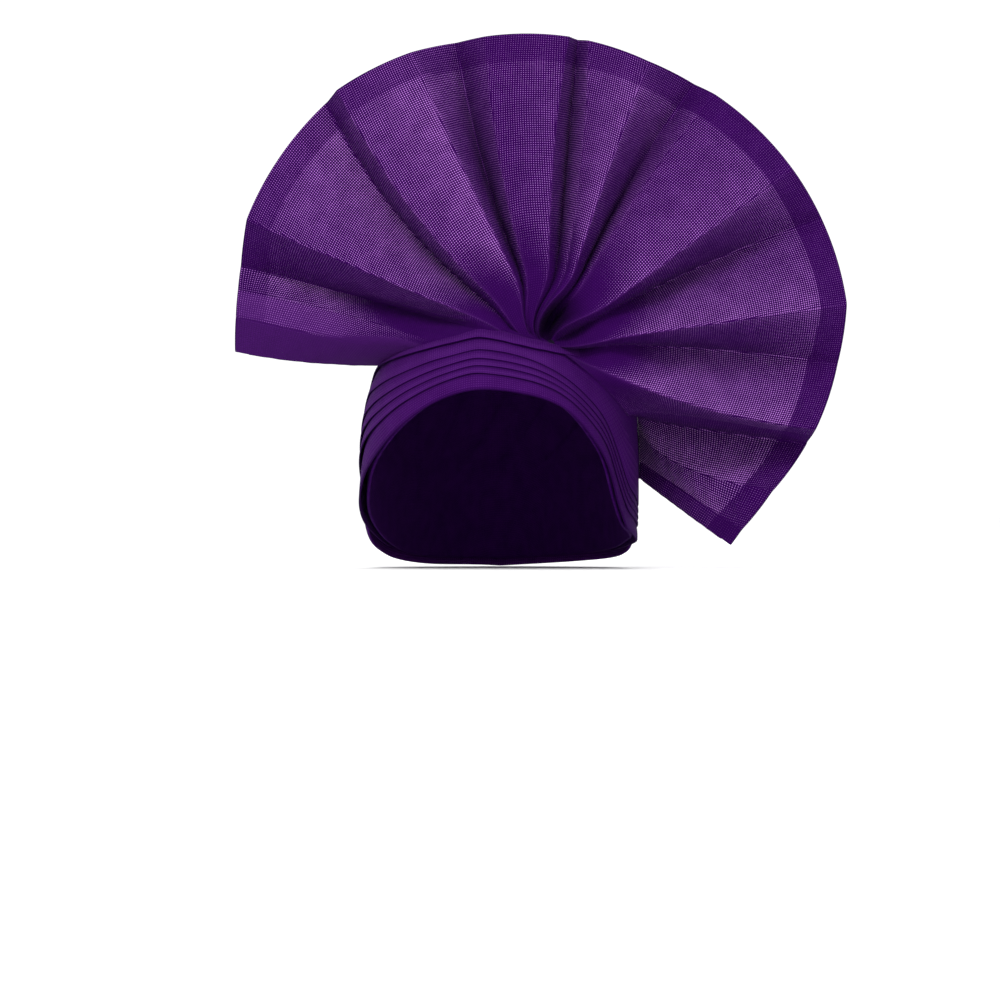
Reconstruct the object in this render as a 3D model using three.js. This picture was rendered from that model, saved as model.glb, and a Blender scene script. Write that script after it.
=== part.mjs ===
// A gele: a stiff open-weave cloth tied round the head, pleated over the brow,
// pinched above the right of the brow and spread from there into a wide fan.
// Millimetres. +X is to the right as seen from the front, -Y is the front, +Z is up.
// The origin is the inside of the crown where it rests on the top of the head.

import * as THREE from 'three';

// The clear room for the head
const headBreadth = 145; // at the widest level
const headFront = 92; // from the origin forward, at the widest level
const headBack = 98; // from the origin back, at the widest level
const crownHeight = 94; // from the widest level up to the origin
const ringPower = 2.2; // roundness of a level section, 2 is an ellipse
const domePower = 2.7; // fullness of the crown's shoulders
const lowerTaper = 0.1; // share by which the wrap closes in one crown height below the widest level

// Cloth
const crownWall = 1.6;
const pleatWall = 1.0;
const napeWall = 1.6;
const fanWall = 1.2;
const hemWall = 1.0;
const gap = 0.3; // between layers that lie on each other
const hemRoom = 0.08; // what a turned-in margin needs more at a sharp fold

// The brow band
const pleatLift = 2.7; // how far a pleat's folded lower edge stands off the crown
const pleatLie = 0.7; // the same for its upper edge, which lies under the next pleat
const pleatLap = 0.045; // share of the band's height that a pleat runs on under the next one
const bandEnd = 125; // turn at which the pleats end under the nape wrap, degrees
const bandStep = 4; // degrees between stations
const crownStep = 6;
const napeStep = 6;

// The nape wrap
const napeStart = 113; // turn of its end over the pleats, degrees
const napeSettle = 20; // turn past the pleats' ends in which it comes down to the crown, degrees
const napeStandOff = 4.4; // over the pleats' ends
const napeLie = 0.5; // at the back, where no pleat lies under it
const napeHeight = 46;
const napeDrop = 3; // below the crown's lower edge

// The fan
const gatherTurn = 26; // degrees round the crown from the front centre
const gatherDrop = 19.5; // below the origin, on the crown
const gatherRing = 4; // radius of the small opening that the folds leave
const ringSpread = 1.3; // how much wider apart the folds stand round the ring than at mid length
const gatherStandOff = 2.4; // of the fold feet from the crown
const fanRadius = 165;
const crownRest = 1.3; // middle of the fan's cloth to the crown, where it rests there
const bandRest = 5.7; // the same over the band, at the right temple
const rimHemWidth = 16;

// The band by turn: its lower edge, the line that its folds divide up to, and how far up its last
// pleat covers the crown. All are drops below the origin, as shares of the crown height.
const bandRows = table(
  ['turn', 'brow', 'fold', 'cover'],
  [
    [-180, 1.44, 1.06, 1.06],
    [-130, 1.38, 1.03, 1.03],
    [-112, 1.28, 0.88, 0.88],
    [-100, 1.21, 0.66, 0.66],
    [-92, 1.15, 0.44, 0.44],
    [-85, 1.08, 0.315, 0.315],
    [-72, 0.925, 0.275, 0.275],
    [-59, 0.8, 0.243, 0.243],
    [-43, 0.65, 0.208, 0.208],
    [-26, 0.521, 0.17, 0.17],
    [-8, 0.452, 0.142, 0.142],
    [8, 0.475, 0.175, 0.182],
    [18, 0.51, 0.225, 0.24],
    [25, 0.553, 0.275, 0.26],
    [38, 0.709, 0.4, 0.285],
    [49, 0.904, 0.56, 0.31],
    [55, 1.08, 0.7, 0.325],
    [62, 1.21, 0.86, 0.35],
    [75, 1.287, 0.99, 0.41],
    [90, 1.32, 1.05, 0.54],
    [108, 1.35, 1.09, 0.8],
    [130, 1.39, 1.1, 1.02],
    [180, 1.44, 1.06, 1.06],
  ],
);

// Each pleat's folded lower edge, as a share of the way from the brow edge to the fold line
const pleatEdges = [0, 0.327, 0.467, 0.607, 0.776];

// The fan's folds, clockwise from its left edge.
// over: 1 where the cloth rests on the band, 0 where it rests on the crown.
// foot: turn and drop of the fold's start on the crown, or null where it starts at the gather.
// mid and rim: two places further out. Turn is in degrees round the gather from +X in the front view,
// reach is the distance from the gather and back the depth behind it, as shares of the fan radius.
const foldRows = table(
  [
    'fold', 'over', 'footTurn', 'footDrop', 'midTurn', 'midReach', 'midBack',
    'rimTurn', 'rimReach', 'rimBack',
  ],
  [
    ['left_edge', 0, -84, 0.285, 183.8, 0.815, 0.31, 181, 1.053, 0.33],
    ['left_lip', 0, -60, 0.215, 177.5, 0.77, 0.2, 174.7, 1.05, 0.24],
    ['left_hem', 0, -36, 0.15, 171, 0.72, 0.22, 169.7, 1.057, 0.28],
    ['left_valley', 0, -9, 0.12, 165.5, 0.63, 0.24, 165.5, 1.067, 0.32],
    ['ridge_1', 0, null, null, 158.9, 0.55, 0.03, 157.4, 1.093, 0.2],
    ['valley_1', 0, null, null, 141, 0.55, 0.19, 132.5, 1.105, 0.3],
    ['ridge_2', 0, null, null, 137, 0.55, 0.02, 129.8, 1.107, 0.2],
    ['ridge_3', 0, null, null, 116.4, 0.54, 0.02, 115.3, 1.08, 0.2],
    ['valley_2', 0, null, null, 110.8, 0.54, 0.2, 107, 1.063, 0.31],
    ['ridge_4', 0, null, null, 106.2, 0.53, 0.06, 101.6, 1.053, 0.22],
    ['ridge_5', 0, null, null, 89.4, 0.52, 0.04, 86.4, 1.032, 0.21],
    ['valley_3', 0, null, null, 84.5, 0.52, 0.19, 84.6, 1.029, 0.29],
    ['ridge_6', 0, null, null, 79.5, 0.51, 0.08, 82.6, 1.027, 0.24],
    ['ridge_7', 0, null, null, 71.4, 0.5, 0.02, 70.8, 1.002, 0.19],
    ['valley_4', 0, null, null, 64.5, 0.5, 0.19, 61, 1.003, 0.31],
    ['ridge_8', 0, null, null, 60, 0.5, 0.1, 56.7, 1.006, 0.25],
    ['ridge_9', 0, null, null, 35, 0.5, 0.02, 36, 1.0, 0.19],
    ['valley_5', 0, null, null, 28.2, 0.5, 0.2, 25, 1.008, 0.31],
    ['ridge_10', 0, null, null, 6.8, 0.5, 0.02, 7.9, 1.0, 0.19],
    ['valley_6', 0.3, null, null, -1, 0.49, 0.21, -3.5, 0.967, 0.3],
    ['ridge_11', 0.7, null, null, -23.5, 0.48, 0.07, -17.5, 0.93, 0.2],
    ['shoulder', 1, 65, 0.6, -28, 0.5, 0.22, -19, 0.927, 0.26],
    ['right_valley', 1, 90, 0.6, -30.8, 0.52, 0.39, -20.6, 0.922, 0.33],
    ['right_flap', 1, 94, 0.66, -42, 0.6, 0.34, -33, 0.887, 0.24],
    ['right_hem', 1, 96.5, 0.86, -46.5, 0.69, 0.35, -43.8, 0.888, 0.27],
    ['right_edge', 1, 97, 0.955, -50.8, 0.712, 0.37, -47.7, 0.9, 0.29],
  ],
);
const columnsPerFold = 2; // stations from one fold to the next
const foldedFrom = 0.35; // share of a fold's length by which it has its full depth
const coneBack = 0.26; // the gather's own cone, behind the gather at the rim
const radialShares = [0, 0.035, 0.08, 0.15, 0.25, 0.37, 0.5, 0.63, 0.76, 0.88, 1];

const clothPurple = new THREE.Color(0x44125f);

// Rows of values under named columns
function table(columns, rows) {
  return rows.map((row) => Object.fromEntries(columns.map((column, i) => [column, row[i]])));
}

function clothMaterial(lighten) {
  return new THREE.MeshStandardMaterial({
    color: clothPurple.clone().offsetHSL(0, 0, lighten),
    roughness: 0.75,
    metalness: 0,
  });
}

const radians = THREE.MathUtils.degToRad;

// A smooth value between the rows of a table whose key column rises or falls steadily
function alongTable(rows, key, at, column) {
  const rising = rows[rows.length - 1][key] > rows[0][key];
  let i = 0;
  while (i < rows.length - 2 && (rising ? rows[i + 1][key] < at : rows[i + 1][key] > at)) i += 1;
  const slope = (j) => {
    const before = rows[Math.max(j - 1, 0)];
    const after = rows[Math.min(j + 1, rows.length - 1)];
    return (after[column] - before[column]) / (after[key] - before[key]);
  };
  const span = rows[i + 1][key] - rows[i][key];
  const t = THREE.MathUtils.clamp((at - rows[i][key]) / span, 0, 1);
  const low = rows[i][column];
  const high = rows[i + 1][column];
  return (
    low * (1 + 2 * t) * (1 - t) ** 2 +
    high * (3 - 2 * t) * t ** 2 +
    span * (slope(i) * t * (1 - t) ** 2 - slope(i + 1) * (1 - t) * t ** 2)
  );
}

const browDrop = (turn) => crownHeight * alongTable(bandRows, 'turn', turn, 'brow');
const foldDrop = (turn) => crownHeight * alongTable(bandRows, 'turn', turn, 'fold');
const coverDrop = (turn) => crownHeight * alongTable(bandRows, 'turn', turn, 'cover');

// Share of the widest section that the wrap has at a level
function levelShare(drop) {
  const rise = 1 - drop / crownHeight;
  if (rise < 0) return 1 - lowerTaper * rise ** 2;
  return Math.max(1 - rise ** domePower, 0) ** (1 / domePower);
}

// A point of the head's surface: turn in degrees from the front centre towards +X, drop below the origin
function headPoint(turn, drop) {
  const across = Math.sin(radians(turn));
  const along = Math.cos(radians(turn));
  const share = levelShare(drop);
  const length = along > 0 ? headFront : headBack;
  return new THREE.Vector3(
    Math.sign(across) * Math.abs(across) ** (2 / ringPower) * (headBreadth / 2) * share,
    -Math.sign(along) * Math.abs(along) ** (2 / ringPower) * length * share,
    -drop,
  );
}

// How far out a point lies on the head's own scale, which is 1 on its surface
function headMeasure(p) {
  const length = p.y < 0 ? headFront : headBack;
  const level = Math.abs(p.x / (headBreadth / 2)) ** ringPower + Math.abs(p.y / length) ** ringPower;
  const rise = Math.max(1 + p.z / crownHeight, 0);
  return (level ** (domePower / ringPower) + rise ** domePower) ** (1 / domePower);
}

function headNormal(p) {
  const e = 0.05;
  const step = (x, y, z) => headMeasure(new THREE.Vector3(p.x + x, p.y + y, p.z + z));
  const n = new THREE.Vector3(
    step(e, 0, 0) - step(-e, 0, 0),
    step(0, e, 0) - step(0, -e, 0),
    step(0, 0, e) - step(0, 0, -e),
  );
  return { steepness: n.length() / (2 * e), direction: n.normalize() };
}

// A point that stands off the head's surface
function wrapPoint(turn, drop, standOff) {
  const p = headPoint(turn, drop);
  return p.clone().addScaledVector(headNormal(p).direction, standOff);
}

// Moves a point of the fan's cloth out until it rests at a distance from the crown
function restOnCrown(p, distance) {
  for (let i = 0; i < 4; i += 1) {
    const { steepness, direction } = headNormal(p);
    const away = (headMeasure(p) - 1) / steepness;
    const short = crownWall + distance - away;
    if (short > 0) p.addScaledVector(direction, short);
  }
  return p;
}

// A closed body between two sheets of points, each a list of columns. A wrapped body's last column
// meets its first, and a capped one's columns all start at one point.
function bodyBetween(outer, inner, { wrapped = false, capped = false } = {}) {
  const columns = outer.length;
  const rows = outer[0].length;
  const places = [];
  const triangles = [];
  const numberOf = (sheet) =>
    sheet.map((column, i) =>
      column.map((p, j) => {
        if (capped && j === 0 && i > 0) return null;
        places.push(p.x, p.y, p.z);
        return places.length / 3 - 1;
      }),
    );
  const sheets = [numberOf(outer), numberOf(inner)];
  if (capped) sheets.forEach((sheet) => sheet.forEach((column) => (column[0] = sheet[0][0])));
  const quad = (a, b, c, d) => {
    if (a !== b && b !== c && a !== c) triangles.push(a, b, c);
    if (a !== c && c !== d && a !== d) triangles.push(a, c, d);
  };
  const last = wrapped ? columns : columns - 1;
  for (let i = 0; i < last; i += 1) {
    const k = (i + 1) % columns;
    const [o, n] = sheets;
    for (let j = 0; j < rows - 1; j += 1) {
      quad(o[i][j], o[k][j], o[k][j + 1], o[i][j + 1]);
      quad(n[i][j], n[i][j + 1], n[k][j + 1], n[k][j]);
    }
    quad(o[i][rows - 1], o[k][rows - 1], n[k][rows - 1], n[i][rows - 1]);
    if (!capped) quad(o[i][0], n[i][0], n[k][0], o[k][0]);
  }
  if (!wrapped) {
    const [o, n] = sheets;
    for (let j = 0; j < rows - 1; j += 1) {
      quad(o[0][j], o[0][j + 1], n[0][j + 1], n[0][j]);
      quad(o[last][j], n[last][j], n[last][j + 1], o[last][j + 1]);
    }
  }
  if (signedVolume(places, triangles) < 0) triangles.reverse();
  const geometry = new THREE.BufferGeometry();
  geometry.setAttribute('position', new THREE.Float32BufferAttribute(places, 3));
  geometry.setIndex(triangles);
  geometry.computeVertexNormals();
  return geometry;
}

function signedVolume(places, triangles) {
  const corner = (k) => new THREE.Vector3().fromArray(places, 3 * triangles[k]);
  let sum = 0;
  for (let k = 0; k < triangles.length; k += 3) {
    sum += corner(k).dot(corner(k + 1).cross(corner(k + 2))) / 6;
  }
  return sum;
}

// The same sheet moved along its own normals, with a fold's corner kept at full distance
function movedSheet(sheet, distance) {
  const flat = (i, j) => {
    const a = sheet[i][j];
    const b = sheet[i + 1][j];
    const c = sheet[i + 1][j + 1];
    const d = sheet[i][j + 1];
    return c.clone().sub(a).cross(d.clone().sub(b)).normalize();
  };
  return sheet.map((column, i) =>
    column.map((p, j) => {
      const faces = [];
      for (const k of [i - 1, i]) {
        for (const l of [j - 1, j]) {
          if (k >= 0 && l >= 0 && k < sheet.length - 1 && l < column.length - 1) faces.push(flat(k, l));
        }
      }
      const middle = faces.reduce((sum, n) => sum.add(n), new THREE.Vector3()).normalize();
      const lean = faces.reduce((sum, n) => sum + n.dot(middle), 0) / faces.length;
      return p.clone().addScaledVector(middle, distance / Math.max(lean, 0.6));
    }),
  );
}

function stations(from, to, step) {
  const count = Math.max(Math.round((to - from) / step), 1);
  return Array.from({ length: count + 1 }, (_, i) => from + ((to - from) * i) / count);
}

// The cap that covers the head, open below and in front of the face
function crownWrap() {
  const turns = stations(-180, 180, crownStep).slice(0, -1);
  const shares = [0, 0.06, 0.14, 0.23, 0.33, 0.44, 0.55, 0.66, 0.77, 0.88, 1];
  const sheet = (standOff) =>
    turns.map((turn) => {
      const edge = browDrop(turn);
      // Equal steps of arc near the top, where the drop hardly changes
      return shares.map((share) => {
        const drop = edge * (0.35 * share + 0.65 * share ** 2.4);
        return share === 0 ? new THREE.Vector3(0, 0, standOff) : wrapPoint(turn, drop, standOff);
      });
    });
  return bodyBetween(sheet(crownWall), sheet(0), { wrapped: true, capped: true });
}

// A lapped strip on the crown. Its lower edge stands proud and its upper edge lies flat.
function lappedStrip(turns, lowerDrop, upperDrop, wall, rows) {
  const sheet = (extra) =>
    turns.map((turn) =>
      stations(0, 1, 1 / rows).map((share) => {
        const drop = THREE.MathUtils.lerp(lowerDrop(turn), upperDrop(turn), share);
        const lift = THREE.MathUtils.lerp(pleatLift, pleatLie, share);
        return wrapPoint(turn, drop, crownWall + lift + extra);
      }),
    );
  return bodyBetween(sheet(wall), sheet(0));
}

function browPleat(index) {
  const foldLine = (turn, share) => THREE.MathUtils.lerp(browDrop(turn), foldDrop(turn), share);
  const lower = pleatEdges[index];
  const isTop = index === pleatEdges.length - 1;
  return lappedStrip(
    stations(-bandEnd, bandEnd, bandStep),
    (turn) => foldLine(turn, lower),
    (turn) => (isTop ? coverDrop(turn) : foldLine(turn, pleatEdges[index + 1] + pleatLap)),
    pleatWall,
    index === 0 || isTop ? 4 : 2,
  );
}

// The plain turn of cloth round the back of the head, over the pleats' ends
function napeWrap() {
  const turns = stations(napeStart, 360 - napeStart, napeStep);
  const sheet = (extra) =>
    turns.map((turn) =>
      stations(0, 1, 0.25).map((share) => {
        const side = turn > 180 ? turn - 360 : turn;
        const past = THREE.MathUtils.smoothstep(Math.abs(side) - bandEnd, bandStep, bandStep + napeSettle);
        const lie = THREE.MathUtils.lerp(napeStandOff, napeLie, past);
        const drop = browDrop(side) + napeDrop - napeHeight * share;
        return wrapPoint(turn, drop, crownWall + lie + extra);
      }),
    );
  return bodyBetween(sheet(napeWall), sheet(0));
}

const gather = wrapPoint(gatherTurn, gatherDrop, crownWall + gatherStandOff);

// A place in the front view round the gather, at a depth behind it
function fanPlace(turn, reach, back) {
  return new THREE.Vector3(
    gather.x + fanRadius * reach * Math.cos(radians(turn)),
    gather.y + fanRadius * back,
    gather.z + fanRadius * reach * Math.sin(radians(turn)),
  );
}

const isSeated = (row) => row.footTurn !== null;

// Where a fold's cloth starts, as turn and drop on the crown
function footOf(row) {
  if (isSeated(row)) return { turn: row.footTurn, drop: row.footDrop * crownHeight };
  const around = radians(90 + (row.midTurn - 90) * ringSpread);
  const x = gather.x + gatherRing * Math.cos(around);
  const drop = gatherDrop - gatherRing * Math.sin(around);
  const across = x / ((headBreadth / 2 + crownWall) * levelShare(drop));
  return { turn: THREE.MathUtils.radToDeg(Math.asin(across ** (ringPower / 2))), drop };
}

// The middle sheet of the fan's cloth: a column for each fold and each station between two folds
function fanSheet() {
  const columns = [];
  foldRows.forEach((row, i) => {
    const next = foldRows[i + 1];
    const steps = next ? columnsPerFold : 1;
    for (let k = 0; k < steps; k += 1) {
      columns.push(fanColumn(row, next ?? row, k / columnsPerFold));
    }
  });
  return columns;
}

function fanColumn(row, next, share) {
  const between = (name) => THREE.MathUtils.lerp(row[name], next[name], share);
  const [a, b] = [footOf(row), footOf(next)];
  const rest = THREE.MathUtils.lerp(crownRest, bandRest, between('over'));
  const foot = wrapPoint(
    THREE.MathUtils.lerp(a.turn, b.turn, share),
    THREE.MathUtils.lerp(a.drop, b.drop, share),
    crownWall + rest,
  );
  const middle = fanPlace(between('midTurn'), between('midReach'), between('midBack'));
  const rim = fanPlace(between('rimTurn'), between('rimReach'), between('rimBack'));
  const seated = THREE.MathUtils.lerp(Number(isSeated(row)), Number(isSeated(next)), share);
  // The folds leave the gather as a plain cone and deepen on the way out
  const path = (t) => {
    const p = foot
      .clone()
      .multiplyScalar((1 - t) * (1 - 2 * t))
      .addScaledVector(middle, 4 * t * (1 - t))
      .addScaledVector(rim, t * (2 * t - 1));
    const cone = foot.y + fanRadius * coneBack * t;
    const depth = THREE.MathUtils.smoothstep(t, 0, foldedFrom);
    p.y = THREE.MathUtils.lerp(THREE.MathUtils.lerp(cone, p.y, depth), p.y, seated);
    return p;
  };
  const rimSpeed = path(1).distanceTo(path(0.99)) / 0.01;
  const hemStart = 1 - rimHemWidth / rimSpeed;
  const places = radialShares.map((share) => path(share * hemStart));
  places.push(path((hemStart + 1) / 2), path(1));
  return places.map((p, j) => (j === 0 ? p : restOnCrown(p, rest)));
}

const fanMiddle = fanSheet();
const columnOf = (name) => columnsPerFold * foldRows.findIndex((row) => row.fold === name);

function fanCloth() {
  return bodyBetween(movedSheet(fanMiddle, fanWall / 2), movedSheet(fanMiddle, -fanWall / 2));
}

// The turned-in margin on the back of the fan, over a range of its columns and rows
function hem(firstColumn, lastColumn, firstRow, lastRow) {
  const inside = -(fanWall / 2 + gap + hemRoom);
  const cut = (sheet) =>
    sheet.slice(firstColumn, lastColumn + 1).map((column) => column.slice(firstRow, lastRow + 1));
  return bodyBetween(
    cut(movedSheet(fanMiddle, inside)),
    cut(movedSheet(fanMiddle, inside - hemWall)),
  );
}

const head_tie = new THREE.Group();

function place(name, geometry, lighten = 0) {
  const mesh = new THREE.Mesh(geometry, clothMaterial(lighten));
  mesh.name = name;
  head_tie.add(mesh);
}

place('crown_wrap', crownWrap());
pleatEdges.forEach((_, index) => place(`brow_pleat_${index + 1}`, browPleat(index), 0.015 * index));
place('nape_wrap', napeWrap());
place('fan', fanCloth(), 0.05);

const rimRow = radialShares.length - 1;
const lastColumn = fanMiddle.length - 1;
place('rim_hem', hem(0, lastColumn, rimRow, rimRow + 2), 0.02);
place('left_hem', hem(0, columnOf('left_hem'), 2, rimRow - 1), 0.02);
place('right_hem', hem(columnOf('right_hem'), lastColumn, 2, rimRow - 1), 0.02);

export default head_tie;
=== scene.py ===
import bpy
import numpy as np
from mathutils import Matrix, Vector


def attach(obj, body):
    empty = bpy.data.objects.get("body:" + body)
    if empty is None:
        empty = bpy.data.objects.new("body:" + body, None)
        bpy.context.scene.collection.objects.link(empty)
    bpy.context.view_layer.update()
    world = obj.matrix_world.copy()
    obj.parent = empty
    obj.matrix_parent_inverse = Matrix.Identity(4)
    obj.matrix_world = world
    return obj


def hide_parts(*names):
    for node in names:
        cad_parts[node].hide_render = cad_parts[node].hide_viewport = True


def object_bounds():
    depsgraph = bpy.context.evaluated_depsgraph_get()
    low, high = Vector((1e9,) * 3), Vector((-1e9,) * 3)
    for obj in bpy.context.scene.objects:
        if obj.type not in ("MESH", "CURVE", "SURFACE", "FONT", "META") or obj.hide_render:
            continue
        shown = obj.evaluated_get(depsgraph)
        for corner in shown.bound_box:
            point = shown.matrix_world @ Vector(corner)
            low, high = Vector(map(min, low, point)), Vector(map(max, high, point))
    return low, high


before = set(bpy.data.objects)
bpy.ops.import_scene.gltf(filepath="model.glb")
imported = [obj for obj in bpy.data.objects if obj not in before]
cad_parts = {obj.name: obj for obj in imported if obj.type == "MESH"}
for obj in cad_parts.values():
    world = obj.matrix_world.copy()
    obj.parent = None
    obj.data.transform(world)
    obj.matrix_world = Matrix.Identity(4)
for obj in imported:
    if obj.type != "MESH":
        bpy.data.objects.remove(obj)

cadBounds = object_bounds()
mm = 0.001

# Millimetres and degrees, as the solids have them. A turn goes round the head from the front, positive
# to the right, and a drop goes down from its top.
head = {"breadth": 145, "front": 92, "back": 98, "crown": 94, "ring": 2.2, "dome": 2.7, "taper": 0.1}
wall = {"crown": 1.6, "pleat": 1.0}
gather = {"turn": 26, "drop": 19.5, "standOff": 2.4, "ring": 2.0}
fanRadius = 165
hemWidth = 16
threadPitch = 1.3


# Shader sockets as numbers and colours

class Socket:
    def __init__(self, graph, out):
        self.graph = graph
        self.out = out

    def math(self, operation, other=None, swap=False):
        values = [self] if other is None else [self, other]
        return self.graph.math(operation, *(values[::-1] if swap else values))

    def __add__(self, other):
        return self.math("ADD", other)

    def __radd__(self, other):
        return self.math("ADD", other)

    def __sub__(self, other):
        return self.math("SUBTRACT", other)

    def __rsub__(self, other):
        return self.math("SUBTRACT", other, swap=True)

    def __mul__(self, other):
        return self.math("MULTIPLY", other)

    def __rmul__(self, other):
        return self.math("MULTIPLY", other)

    def __pow__(self, other):
        return self.math("POWER", other)

    def __gt__(self, other):
        return self.math("GREATER_THAN", other)

    def __abs__(self):
        return self.math("ABSOLUTE")


class Graph:
    def __init__(self, name):
        self.material = bpy.data.materials.new(name)
        self.material.use_nodes = True
        self.tree = self.material.node_tree
        self.tree.nodes.clear()

    # A node of any type. Inputs are named, or numbered where names repeat.
    def node(self, kind, out=0, settings=None, **inputs):
        made = self.tree.nodes.new("ShaderNode" + kind)
        for key, value in (settings or {}).items():
            setattr(made, key, value)
        for key, value in inputs.items():
            isNumber = key[1:].isdigit()
            socket = made.inputs[int(key[1:]) if isNumber else key.replace("_", " ")]
            if isinstance(value, Socket):
                self.tree.links.new(value.out, socket)
            else:
                socket.default_value = value
        return Socket(self, made.outputs[out]) if len(made.outputs) else made

    def math(self, operation, *values):
        inputs = {f"i{k}": value for k, value in enumerate(values)}
        return self.node("Math", settings={"operation": operation}, **inputs)

    def mix(self, share, low, high):
        settings = {"data_type": "RGBA"}
        return self.node("Mix", out="Result", settings=settings, i0=share, i6=low, i7=high)

    def step(self, value, low, high):
        settings = {"interpolation_type": "SMOOTHSTEP"}
        return self.node("MapRange", settings=settings, Value=value, From_Min=low, From_Max=high)

    def attribute(self, name):
        return self.node("Attribute", out="Fac", settings={"attribute_name": name})


# The head's surface, for arrays of places

def levelShare(drop):
    rise = 1 - np.asarray(drop, float) / head["crown"]
    dome = np.maximum(1 - np.abs(rise) ** head["dome"], 0) ** (1 / head["dome"])
    return np.where(rise < 0, 1 - head["taper"] * rise**2, dome)


def headPoint(turn, drop):
    across, ahead = np.sin(np.radians(turn)), np.cos(np.radians(turn))
    share = levelShare(drop)
    length = np.where(ahead > 0, head["front"], head["back"])
    x = np.sign(across) * np.abs(across) ** (2 / head["ring"]) * head["breadth"] / 2 * share
    y = -np.sign(ahead) * np.abs(ahead) ** (2 / head["ring"]) * length * share
    return np.stack(np.broadcast_arrays(x, y, -np.asarray(drop, float)), -1)


# Below 1 inside the head, 1 on its surface and above 1 outside
def headMeasure(p):
    length = np.where(p[..., 1] < 0, head["front"], head["back"])
    level = np.abs(p[..., 0] / (head["breadth"] / 2)) ** head["ring"]
    level = level + np.abs(p[..., 1] / length) ** head["ring"]
    rise = np.maximum(1 + p[..., 2] / head["crown"], 0)
    return (level ** (head["dome"] / head["ring"]) + rise ** head["dome"]) ** (1 / head["dome"])


def headNormal(p):
    small = 0.05
    slopes = []
    for axis in range(3):
        step = np.zeros(3)
        step[axis] = small
        slopes.append((headMeasure(p + step) - headMeasure(p - step)) / (2 * small))
    n = np.stack(slopes, -1)
    steepness = np.linalg.norm(n, axis=-1)
    return n / steepness[..., None], steepness


def wrapPoint(turn, drop, standOff):
    p = headPoint(turn, drop)
    return p + headNormal(p)[0] * np.asarray(standOff)[..., None]


# Places that lie closer to the crown than they may are moved out
def restOnCrown(p, distance):
    for _ in range(4):
        direction, steepness = headNormal(p)
        away = (headMeasure(p) - 1) / steepness
        short = np.maximum(wall["crown"] + distance - away, 0)
        p = p + direction * short[..., None]
    return p


gatherPlace = wrapPoint(gather["turn"], gather["drop"], wall["crown"] + gather["standOff"])


# Tables, curves and sheets of cloth

def table(columns, rows):
    return [dict(zip(columns.split(), row)) for row in rows]


# Smooth values along a table's key column
def along(rows, key, column, at):
    keys = np.array([row[key] for row in rows], float)
    values = np.array([row[column] for row in rows], float)
    slope = np.gradient(values, keys)
    i = np.clip(np.searchsorted(keys, at) - 1, 0, len(keys) - 2)
    span = keys[i + 1] - keys[i]
    t = np.clip((at - keys[i]) / span, 0, 1)
    bend = span * (slope[i] * t * (1 - t) ** 2 - slope[i + 1] * (1 - t) * t**2)
    return values[i] * (1 + 2 * t) * (1 - t) ** 2 + values[i + 1] * (3 - 2 * t) * t**2 + bend


def smooth(t):
    t = np.clip(t, 0, 1)
    return t * t * (3 - 2 * t)


# Soft waves with fixed seeds, for the unevenness of folded cloth
def waves(shape, seed, cycles, count=6):
    rng = np.random.default_rng(seed)
    i, j = np.meshgrid(np.linspace(0, 1, shape[0]), np.linspace(0, 1, shape[1]), indexing="ij")
    total = np.zeros(shape)
    for _ in range(count):
        a, b = rng.uniform(-1, 1, 2) * cycles
        total += np.sin(2 * np.pi * (a * i + b * j + rng.uniform()))
    return total / count


# A sheet is an array of columns, rows and places
def sheetNormals(sheet):
    across = np.gradient(sheet, axis=0)
    down = np.gradient(sheet, axis=1)
    n = np.cross(down, across)
    return n / np.maximum(np.linalg.norm(n, axis=-1, keepdims=True), 1e-9)


# Lengths along a sheet's columns or rows, from the first place on
def arcs(points, axis):
    steps = np.linalg.norm(np.diff(points, axis=axis), axis=-1)
    start = np.zeros_like(np.take(steps, [0], axis=axis))
    return np.concatenate([start, np.cumsum(steps, axis=axis)], axis=axis)


# Cloth coordinates of one flat stretch, in threads, that run true to its middle column
def clothPlaces(sheet):
    across = arcs(sheet, 0)
    across = across - across[len(sheet) // 2][None, :]
    down = arcs(sheet, 1)[len(sheet) // 2][None, :] * np.ones(len(sheet))[:, None]
    return np.stack([across, down], -1) / threadPitch


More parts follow.
